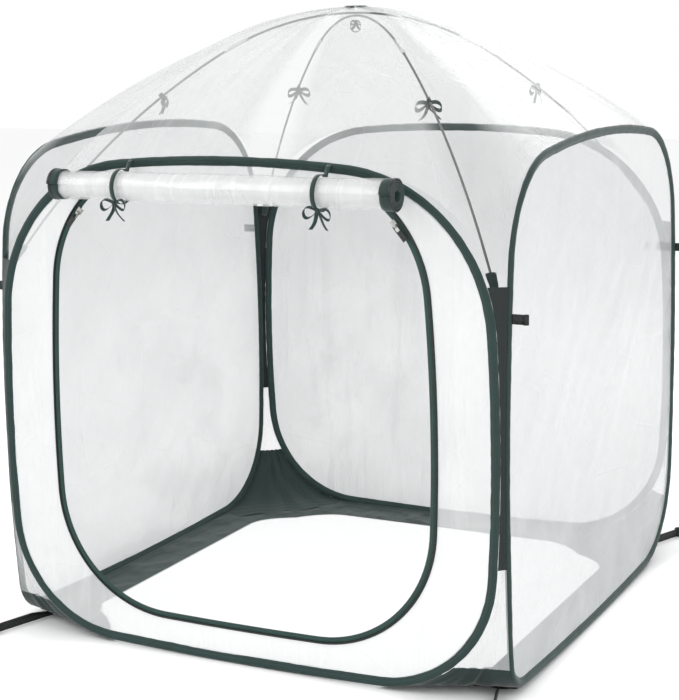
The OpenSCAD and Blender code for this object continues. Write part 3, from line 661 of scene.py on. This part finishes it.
# the part of the door between the opening's top and the roll lengthens as the door is let down
bm = bmesh.new()
bmesh.ops.create_grid(bm, x_segments=36, y_segments=48, size=0.5)
curtain_top, curtain_foot = 0.8995, 0.8735
for vertex in bm.verts:
    share = 0.5 - vertex.co.y
    x = vertex.co.x * 2 * (ROLL_HALF - 0.004)
    vertex.co = Vector((x, -wall_y - 0.0052 - 0.004 * share + 0.0008 * noise.noise(
        Vector((x * 14, share * 9, 1.0))), curtain_top + (curtain_foot - curtain_top) * share))
flat_area = sum(face.calc_area() for face in bm.faces)
curtain = no_shadow(piece("door_curtain_sheet", bm, roll_film, None, closed=False))
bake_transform(curtain, "front_wall", "door_roll", start=(0, 0, curtain_top), end=(0, 0, curtain_foot))

# ---- Door ties -----------------------------------------------------------------------------------
# A green ribbon is sewn to the hoop's sleeve at two places, passes round the roll and is tied in a bow
# under it.
ribbon_cloth = woven_polyester("woven_grosgrain_ribbon", "#0e2522", "#22483f")
TIE_X = (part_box("door_tie_right")[0].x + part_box("door_tie_right")[1].x) / 2


def ribbon(bm, path, across, width):
    """A flat ribbon along a path, its width lying along across."""
    half = Vector(across).normalized() * width / 2
    edge = bm.edges.new([bm.verts.new(Vector(path[0]) + half * s) for s in (-1, 1)])
    for here, there in zip(path, path[1:]):
        out = bmesh.ops.extrude_edge_only(bm, edges=[edge])["geom"]
        fresh = [g for g in out if isinstance(g, bmesh.types.BMVert)]
        edge = [g for g in out if isinstance(g, bmesh.types.BMEdge) and set(g.verts) == set(fresh)][0]
        bmesh.ops.translate(bm, vec=Vector(there) - Vector(here), verts=fresh)


def bow(bm, at, right, down, out, loop, tail, width, seed):
    """A knot with two loops and two tails; right, down and out are unit vectors at the knot."""
    at, right, down, out = (Vector(v) for v in (at, right, down, out))
    for side in (-1, 1):
        lean = 0.25 + 0.15 * noise.noise(Vector((seed, side, 0.3)))
        path = []
        for step in range(17):
            t = step / 16
            sag = 0.36 * math.sin(2 * math.pi * t) + lean * math.sin(math.pi * t)
            path.append(at + right * side * loop * math.sin(math.pi * t) + down * loop * sag
                        + out * 0.12 * loop * math.sin(math.pi * t))
        ribbon(bm, path, out + down * 0.6 + right * 0.25 * side, width)
        path = []
        for step in range(13):
            t = step / 12
            path.append(at + down * tail * t + right * side * tail * (0.16 + 0.34 * t) * t
                        + out * 0.07 * tail * math.sin(5 * t + side + seed))
        ribbon(bm, path, right + out * 0.5 * side, width)


def knot(bm, at, size):
    """Ribbon wrapped once round itself at the middle of a bow."""
    made = bmesh.ops.create_icosphere(bm, subdivisions=2, radius=size)["verts"]
    for vertex in made:
        vertex.co = Vector((vertex.co.x, vertex.co.y * 0.8, vertex.co.z * 0.9)) * (
            1 + 0.18 * noise.noise(vertex.co * 260)) + Vector(at)


for side, name in ((-1, "door_tie_left"), (1, "door_tie_right")):
    bm = bmesh.new()
    wrap = ROLL_R + 0.0022
    path = [Vector((0, -wall_y - 0.0055, 0.9460)), Vector((0, -wall_y - 0.011, 0.9420))]
    for step in range(33):
        angle = math.radians(55 + 260 * step / 32)
        path.append(Vector((0, roll_centre.y + wrap * math.cos(angle),
                            roll_centre.z + wrap * math.sin(angle))))
    x = side * TIE_X
    ribbon(bm, [p + Vector((x, 0, 0)) for p in path], (1, 0, 0), 0.009)
    tied = Vector((x + side * 0.004, roll_centre.y - wrap * 0.62, roll_centre.z - wrap * 0.86))
    bow(bm, tied, (1, 0, 0), (0, 0.12, -1), (0, -1, 0), 0.026, 0.034, 0.007, side * 2.0)
    bmesh.ops.solidify(bm, geom=bm.faces[:], thickness=0.0007)
    knot(bm, tied, 0.0052)
    tie = piece(name + "_ribbon", bm, ribbon_cloth, "front_wall")
    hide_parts(name)
    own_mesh(tie)

# ---- Roof ----------------------------------------------------------------------------------------
# Four film panels meet over the poles and are sewn to the crowns of the hoops. The film is slack between the
# poles, so it dips a little and its wrinkles run towards the corners and the ties.
roof_film = pvc_film("calendered_pvc_roof_film", "#d4d6d6", 0.40, 0.06, (0.5, 0.3, 0.9), 0.05, 0.006,
                     on_poles=True)
FOOT_X = fold - 0.004
POLE_R, POLE_BEND, POLE_TURN = 0.0023, 0.560, math.radians(30)
PEAK = 1.222
POLE_FOOT = 0.742
POLE_SPAN = FOOT_X * math.sqrt(2) - 0.024
POLE_DROP = PEAK - 0.012 - POLE_FOOT
out_x = POLE_SPAN - POLE_BEND * math.sin(POLE_TURN)
out_z = POLE_DROP - POLE_BEND * (1 - math.cos(POLE_TURN))
POLE_END = 2 * math.atan2(out_z, out_x) - POLE_TURN
POLE_FLAT = math.hypot(out_x, out_z) / (2 * math.sin((POLE_END - POLE_TURN) / 2))


def pole_height(d):
    """Height of a pole's middle line at distance d from the peak."""
    top = POLE_FOOT + POLE_DROP - POLE_BEND
    if d < POLE_BEND * math.sin(POLE_TURN):
        return top + math.sqrt(POLE_BEND ** 2 - d * d)
    lean = (POLE_FLAT - POLE_BEND) * math.sin(POLE_TURN)
    return top - (POLE_FLAT - POLE_BEND) * math.cos(POLE_TURN) + math.sqrt(POLE_FLAT ** 2 - (d + lean) ** 2)


def crown(hoop, quarter, u):
    """Height of a hoop's top at distance u from its middle."""
    flat, corner, end = quarter_arcs(hoop, quarter)
    low = corner[0] + corner[2] * math.cos(corner[4])
    high = flat[0] + flat[2] * math.cos(flat[4])
    cu, cv, radius, _, _ = end if u <= low else corner if u <= high else flat
    return WAIST + cv + math.sqrt(max(0.0, radius ** 2 - (u - cu) ** 2))


def gore_point(hoop, u, k):
    """A point of the panel in front of a hoop: u runs from pole to pole, k from the peak to the hoop."""
    quarter = 0 if u >= 0 else 1
    foot = POLE_FOOT + 0.008
    rise = crown(hoop, quarter, abs(u) * reach(hoop, quarter, foot, 0)) - foot
    z = pole_height(k * POLE_SPAN) + 0.012 - 0.004 * k + rise * k ** 2.2
    inner = 1 - u ** 6
    slack = (1 - u * u) * k * (1 - k) * 4
    z -= 0.010 * slack
    at = Vector((u * FOOT_X * k, -FOOT_X * k - 0.0085 * k ** 8 * inner, z + 0.003 * k ** 8 * inner))
    toward = math.atan2(u * k + 0.001, k)
    wave = noise.noise(Vector((toward * 7, k * 2.4, hoop[1] * 40))) * 0.006
    wave += noise.noise(Vector((toward * 26, k * 3.5, hoop[1] * 70))) * 0.0024
    return at, wave * (1 - abs(u) ** 5) * min(1, 6 * (1 - k))


ROOF = (("front", FRONT_HOOP, Matrix.Identity(4)),
        ("back", FRONT_HOOP, Matrix.Rotation(math.pi, 4, "Z")),
        ("right", SIDE_HOOP, Matrix.Rotation(math.pi / 2, 4, "Z")),
        ("left", SIDE_HOOP, Matrix.Diagonal((-1, 1, 1, 1)) @ Matrix.Rotation(math.pi / 2, 4, "Z")))
for wall, hoop, turned in ROOF:
    bm = bmesh.new()
    shared = bm.loops.layers.uv.new("UVMap")
    shares = {}
    bmesh.ops.create_grid(bm, x_segments=64, y_segments=64, size=1)
    for vertex in bm.verts:
        u, k = vertex.co.x, 1 - 0.992 * (vertex.co.y + 1) / 2
        at, wave = gore_point(hoop, u, k)
        vertex.co = at + Vector((0, -0.4, 0.9)) * wave
        shares[vertex] = (abs(u), k)
    flat_area = sum(face.calc_area() for face in bm.faces)
    for face in bm.faces:
        face.normal_update()
        for corner in face.loops:
            corner[shared].uv = shares[corner.vert]
    if sum(face.normal.z for face in bm.faces) < 0:
        bmesh.ops.reverse_faces(bm, faces=bm.faces[:])
    made = no_shadow(piece(wall + "_roof_sheet", bm, roof_film, wall + "_wall", turned, closed=False))
    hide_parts("roof_" + wall)
    outward, plane = {"front": ((0, 1, 0), (0, -wall_y, 0)), "back": ((0, 1, 0), (0, wall_y, 0)),
                      "right": ((1, 0, 0), (wall_x, 0, 0)), "left": ((1, 0, 0), (-wall_x, 0, 0))}[wall]
    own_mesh(made)

# a round cloth patch with an overlocked edge covers the place where the four panels meet
bm = bmesh.new()
bmesh.ops.create_circle(bm, cap_ends=True, cap_tris=True, segments=40, radius=0.023)
bmesh.ops.subdivide_edges(bm, edges=bm.edges[:], cuts=3, use_grid_fill=True)
for vertex in bm.verts:
    distance = vertex.co.xy.length
    vertex.co.z = pole_height(distance) + 0.0145 + 0.0004 * noise.noise(vertex.co * 300)
bmesh.ops.solidify(bm, geom=bm.faces[:], thickness=0.0008)
patch = piece("roof_patch_cloth", bm, ribbon_cloth, "front_wall")
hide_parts("roof_patch")
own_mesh(patch)

# ---- Roof poles ----------------------------------------------------------------------------------
# Two pultruded glass fibre poles cross under the peak. Each is in three sections joined by steel ferrules,
# and its ends stand in cloth pockets inside the corners.
glass_fibre, tree = surface("pultruded_glass_fibre")
place = add(tree, "ShaderNodeTexCoord").outputs["Object"]
strands = add(tree, "ShaderNodeTexNoise", {"Vector": place, "Scale": 160.0, "Detail": 5.0})
tone = add(tree, "ShaderNodeValToRGB", {"Fac": strands.outputs["Fac"]})
tone.color_ramp.elements[0].color = linear("#3a3b39")
tone.color_ramp.elements[1].color = linear("#6a6a66")
finish_surface(glass_fibre, add(tree, "ShaderNodeBsdfPrincipled", {
    "Base Color": tone.outputs["Color"], "Roughness": 0.38, "IOR": 1.55}))
drawn_steel, tree = surface("drawn_steel_tube")
place = add(tree, "ShaderNodeTexCoord").outputs["Object"]
scuff = add(tree, "ShaderNodeTexNoise", {"Vector": place, "Scale": 350.0, "Detail": 4.0})
rough = add(tree, "ShaderNodeMapRange", {"Value": scuff.outputs["Fac"], "To Min": 0.2, "To Max": 0.45})
finish_surface(drawn_steel, add(tree, "ShaderNodeBsdfPrincipled", {
    "Base Color": linear("#c3c4c6"), "Metallic": 1.0, "Roughness": rough.outputs[0]}))

bend_centre = Vector((0, 0, POLE_FOOT + POLE_DROP - POLE_BEND))
lean_in = Vector((math.sin(POLE_TURN), 0, math.cos(POLE_TURN))) * (POLE_FLAT - POLE_BEND)
right_centre = bend_centre - lean_in
left_centre = Vector((-right_centre.x, 0, right_centre.z))
CROSSING = ((45, 0.0), (-45, -0.0054))


def pole_tube(bm, radius, start, stretches, sides=14):
    """A closed tube that starts at an angle from the top of the middle bend and follows the stretches."""
    made = bmesh.ops.create_circle(bm, segments=sides, radius=radius)["verts"]
    bmesh.ops.rotate(bm, verts=made, cent=(0, 0, 0), matrix=Matrix.Rotation(math.pi / 2, 3, "Y"))
    bmesh.ops.translate(bm, verts=made, vec=bend_centre + Vector((0, 0, POLE_BEND)))
    for centre, angle in start:
        bmesh.ops.rotate(bm, verts=made, cent=centre, matrix=Matrix.Rotation(angle, 3, "Y"))
    ring = made + list({edge for vertex in made for edge in vertex.link_edges})
    rings, _ = sweep(bm, ring, stretches, [max(2, round(abs(a) * r / 0.015)) for _, r, a in stretches],
                     axis=(0, 1, 0))
    for end in (rings[0], rings[-1]):
        bmesh.ops.contextual_create(bm, geom=end)


for node, (turn, drop) in zip(("pole_upper", "pole_lower"), CROSSING):
    bm = blank()
    flare = POLE_END - POLE_TURN
    pole_tube(bm, POLE_R, [(bend_centre, -POLE_TURN), (left_centre, -flare)],
              [(left_centre, POLE_FLAT, flare), (bend_centre, POLE_BEND, 2 * POLE_TURN),
               (right_centre, POLE_FLAT, flare)])
    pole = piece(node + "_rod", bm, glass_fibre, "front_wall",
                 Matrix.Translation((0, 0, drop)) @ Matrix.Rotation(math.radians(turn), 4, "Z"))
    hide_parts(node)
    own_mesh(pole)

bm = blank()
for turn, drop in CROSSING:
    for side in (1, -1):
        known = set(bm.verts)
        first = math.radians(24.2) if side > 0 else -math.radians(29.8)
        pole_tube(bm, POLE_R + 0.0011, [(bend_centre, first)], [(bend_centre, POLE_BEND, math.radians(5.6))])
        fresh = [v for v in bm.verts if v not in known]
        bmesh.ops.transform(bm, verts=fresh, matrix=Matrix.Translation((0, 0, drop))
                            @ Matrix.Rotation(math.radians(turn), 4, "Z"))
ferrules = piece("pole_ferrule_tubes", bm, drawn_steel, "front_wall")
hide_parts("pole_ferrules")
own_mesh(ferrules)

# ---- Pole ties, peak loop and pole pockets -------------------------------------------------------
# Ribbons sewn to the roof film are tied round each pole in a bow half way down it, one loop hangs at the
# peak, and a cloth pocket in each corner takes a pole's end.
tie_turn = (POLE_TURN + POLE_END) / 2 - math.radians(6)
for turn, drop, number in ((45, 0, 0), (135, -0.0054, 1), (225, 0, 2), (315, -0.0054, 3)):
    bm = bmesh.new()
    at = right_centre + Vector((math.sin(tie_turn), 0, math.cos(tie_turn))) * POLE_FLAT
    along = Vector((math.cos(tie_turn), 0, -math.sin(tie_turn)))
    outward = Vector((math.sin(tie_turn), 0, math.cos(tie_turn)))
    path = [at + Vector((0, 1, 0)) * 0.0034 * math.sin(a) + outward * 0.0034 * math.cos(a)
            for a in [2 * math.pi * step / 20 for step in range(21)]]
    ribbon(bm, path, along, 0.009)
    ribbon(bm, [at + outward * (0.0036 + 0.0012 * step) for step in range(4)], along, 0.009)
    tied = at - outward * 0.006
    bow(bm, tied, (0, 1, 0), along * 0.6 - outward * 0.5, -outward, 0.026, 0.040, 0.008, 3.0 + number)
    bmesh.ops.solidify(bm, geom=bm.faces[:], thickness=0.0007)
    knot(bm, tied, 0.0050)
    made = piece("pole_tie_%d" % number, bm, ribbon_cloth, "front_wall",
                 Matrix.Translation((0, 0, drop)) @ Matrix.Rotation(math.radians(turn), 4, "Z"))
    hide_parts("pole_ties")
    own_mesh(made)

bm = bmesh.new()
hang = PEAK - 0.016
path = [Vector((0.011 * math.sin(a), 0, hang - 0.017 - 0.012 * (1 - math.cos(a)) + 0.006))
        for a in [2 * math.pi * step / 24 for step in range(25)]]
ribbon(bm, path, (0, 1, 0.2), 0.009)
ribbon(bm, [Vector((0.001, 0, hang - 0.011 - 0.0004 * s * s)) for s in range(3)], (0, 1, 0), 0.009)
bow(bm, (0, 0, hang - 0.014), (1, 0, 0), (0, 0, -1), (0, -1, 0), 0.010, 0.016, 0.006, 9.0)
bmesh.ops.solidify(bm, geom=bm.faces[:], thickness=0.0007)
loop = piece("peak_loop_ribbon", bm, ribbon_cloth, "front_wall", Matrix.Rotation(math.radians(20), 4, "Z"))
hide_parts("peak_loop")
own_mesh(loop)

for turn, drop, wall in ((225, 0, "front"), (315, -0.0054, "front"), (45, 0, "back"), (135, -0.0054, "back")):
    bm = bmesh.new()
    bmesh.ops.create_cone(bm, cap_ends=True, segments=24, radius1=0.0062, radius2=0.0104, depth=0.046)
    top = [face for face in bm.faces if face.normal.z > 0.9]
    bmesh.ops.delete(bm, geom=top, context="FACES_ONLY")
    uprights = [edge for edge in bm.edges if abs(edge.verts[0].co.z - edge.verts[1].co.z) > 0.01]
    bmesh.ops.subdivide_edges(bm, edges=uprights, cuts=8, use_grid_fill=True)
    for vertex in bm.verts:
        vertex.co.x *= 0.50
        crumple = noise.noise(vertex.co * 130 + Vector((turn, 0, 0)))
        vertex.co += Vector(vertex.co).normalized() * 0.0008 * crumple
    bmesh.ops.recalc_face_normals(bm, faces=bm.faces[:])
    bmesh.ops.solidify(bm, geom=bm.faces[:], thickness=0.0008)
    placing = (Matrix.Rotation(math.radians(turn), 4, "Z")
               @ Matrix.Translation((POLE_SPAN, 0, POLE_FOOT + drop))
               @ Matrix.Rotation(POLE_END - math.pi / 2, 4, "Y") @ Matrix.Translation((0, 0, 0.009)))
    made = piece("pole_pocket_%d" % turn, bm, gusset_cloth, wall + "_wall", placing)
    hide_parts(wall + "_pockets")
    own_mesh(made)

# ---- Ground skirt --------------------------------------------------------------------------------
# A strip of the gusset cloth is sewn to the foot of the back and side sleeves and lies on the ground inside;
# soil or pots hold it down. It cuts both back corners and is lightly rumpled.
SKIRT_W = 0.085
CUT_X, CUT_Y = reach(FRONT_HOOP, 2, 0.010, CLEAR_R), reach(SIDE_HOOP, 3, 0.010, CLEAR_R)
EDGE = wall_x - 0.0062
cut_middle = Vector(((EDGE + CUT_X) / 2, (EDGE + CUT_Y) / 2)) - Vector((0.003, 0.003))
inner_middle = cut_middle - Vector((SKIRT_W, SKIRT_W)) * 0.74


def skirt_line(straight_from, straight_to, turn_to, inner_from, inner_to, inner_corner, inner_end, s):
    """Outer and inner point of half a skirt at s: straight up to s = 0.75, then round the cut corner."""
    if s <= 0.75:
        t = s / 0.75
        return straight_from.lerp(straight_to, t), inner_from.lerp(inner_to, t)
    t = (s - 0.75) / 0.25
    inner = inner_to.lerp(inner_corner, t).lerp(inner_corner.lerp(inner_end, t), t)
    return straight_to.lerp(turn_to, t), inner


def skirt(name, node, body, start, straight, along_x, placings):
    for number, placing in enumerate(placings):
        bm = bmesh.new()
        bmesh.ops.create_grid(bm, x_segments=90, y_segments=12, size=0.5)
        swap = (lambda p: Vector((p.y, p.x))) if along_x else (lambda p: p)
        lines = [swap(Vector(p)) for p in ((EDGE, start), (EDGE, straight), tuple(swap(cut_middle)),
                                           (EDGE - SKIRT_W, start), (EDGE - SKIRT_W, straight - 0.075),
                                           (EDGE - SKIRT_W, straight - 0.02), tuple(swap(inner_middle)))]
        for vertex in bm.verts:
            s, w = vertex.co.x + 0.5, vertex.co.y + 0.5
            outer_at, inner_at = skirt_line(lines[0], lines[1], lines[2], lines[3], lines[4], lines[5],
                                            lines[6], s)
            at = outer_at.lerp(inner_at, w)
            lift = 0.0075 * max(0, 1 - w * 3.2) ** 1.5
            rumple = max(0.0, noise.noise(Vector((at.x * 17, at.y * 17, 2.0)))) * 0.007
            rumple += max(0.0, noise.noise(Vector((at.x * 60, at.y * 60, 8.0)))) * 0.0026
            fade = min(1, 5 * w) * min(1, 6 * (1 - w) + 0.15)
            vertex.co = Vector((at.x, at.y, 0.0010 + lift + rumple * fade))
        area = sum(face.calc_area() for face in bm.faces)
        bm.normal_update()
        if sum(face.normal.z for face in bm.faces) < 0:
            bmesh.ops.reverse_faces(bm, faces=bm.faces[:])
        made = piece(name + ("_%d" % number if len(placings) > 1 else ""), bm, gusset_cloth, body, placing,
                     closed=False)
        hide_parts(node)
        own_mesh(made)


skirt("skirt_right_cloth", "skirt_right", "right_wall", -0.449, CUT_Y, False, (Matrix.Identity(4),))
skirt("skirt_left_cloth", "skirt_left", "left_wall", -0.449, CUT_Y, False, (MIRROR,))
skirt("skirt_back_cloth", "skirt_back", "back_wall", 0.0, CUT_X, True, (Matrix.Identity(4), MIRROR))

# ---- Webbing loops -------------------------------------------------------------------------------
# Peg straps at the ground corners and guy loops on the side hoops: 18 mm polypropylene webbing doubled back
# on itself round an eye and stitched together.
webbing, tree = surface("woven_polypropylene_webbing")
place = add(tree, "ShaderNodeTexCoord").outputs["Object"]
cords = [add(tree, "ShaderNodeTexWave", {"Vector": place, "Scale": 1 / 0.0024 / 6.2832, "Distortion": 0.3},
             wave_type="BANDS", bands_direction=way) for way in ("Z", "DIAGONAL")]
weave = add(tree, "ShaderNodeMath", {0: cords[0].outputs["Fac"], 1: cords[1].outputs["Fac"]},
            operation="MULTIPLY")
tone = add(tree, "ShaderNodeValToRGB", {"Fac": weave.outputs[0]})
tone.color_ramp.elements[0].color = linear("#060a0a")
tone.color_ramp.elements[1].color = linear("#1c2a28")
bump = add(tree, "ShaderNodeBump", {"Height": weave.outputs[0], "Strength": 0.6, "Distance": 0.0008})
finish_surface(webbing, add(tree, "ShaderNodeBsdfPrincipled", {
    "Base Color": tone.outputs["Color"], "Roughness": 0.6, "Normal": bump.outputs["Normal"]}))


def doubled_strap(bm, root, eye_at, across, eye_r, width):
    """Two layers of webbing from root to an eye, as one ribbon that goes out, round the eye and back."""
    root, eye_at = Vector(root), Vector(eye_at)
    way = (eye_at - root).normalized()
    beside = way.cross(Vector(across)).normalized()
    turn_r, gap = eye_r + 0.0008, 0.0008
    neck = math.asin(gap / turn_r)
    path = [root + beside * gap + (eye_at - way * turn_r - root) * step / 8 for step in range(8)]
    for step in range(33):
        angle = math.pi - neck - (2 * math.pi - 2 * neck) * step / 32
        path.append(eye_at + way * turn_r * math.cos(angle) + beside * turn_r * math.sin(angle))
    path += [root - beside * gap + (eye_at - way * turn_r - root) * step / 8 for step in range(7, -1, -1)]
    ribbon(bm, path, across, width)
    bmesh.ops.recalc_face_normals(bm, faces=bm.faces[:])
    bmesh.ops.solidify(bm, geom=bm.faces[:], thickness=0.0014)


front_root = Vector((CUT_X, wall_y)).lerp(Vector((wall_x, reach(SIDE_HOOP, 2, 0.010, CLEAR_R))), 0.8)
back_root = Vector((CUT_X, wall_y)).lerp(Vector((wall_x, CUT_Y)), 0.65)
GUY_Z = 0.690
PEG_EYES = {"f": (0.530, -0.595), "b": (0.530, 0.595)}
for row, root in (("f", Vector((front_root.x, -front_root.y))), ("b", back_root)):
    for side, tag in ((1, "r"), (-1, "l")):
        bm = bmesh.new()
        eye = Vector((side * PEG_EYES[row][0], PEG_EYES[row][1], 0.010))
        doubled_strap(bm, (side * root.x, root.y, 0.010), eye, (0, 0, 1), 0.009, 0.0175)
        for vertex in bm.verts:
            from_root = abs(vertex.co.y - root.y)
            vertex.co.z = 0.001 + (vertex.co.z - 0.001) * min(1, 0.45 + from_root * 12)
        made = piece("peg_strap_" + row + tag, bm, webbing, "front_wall" if row == "f" else "back_wall")
        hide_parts("peg_" + row + tag)
for row, quarter, way in (("f", 1, -1), ("b", 0, 1)):
    for side, tag, wall in ((1, "r", "right"), (-1, "l", "left")):
        y = way * reach(SIDE_HOOP, quarter, GUY_Z, 0)
        bm = bmesh.new()
        doubled_strap(bm, (side * (wall_x + 0.004), y, GUY_Z), (side * 0.559, y, GUY_Z), (0, 0, 1), 0.004,
                      0.0175)
        made = piece("guy_strap_" + row + tag, bm, webbing, wall + "_wall")
        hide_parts("guy_" + row + tag)
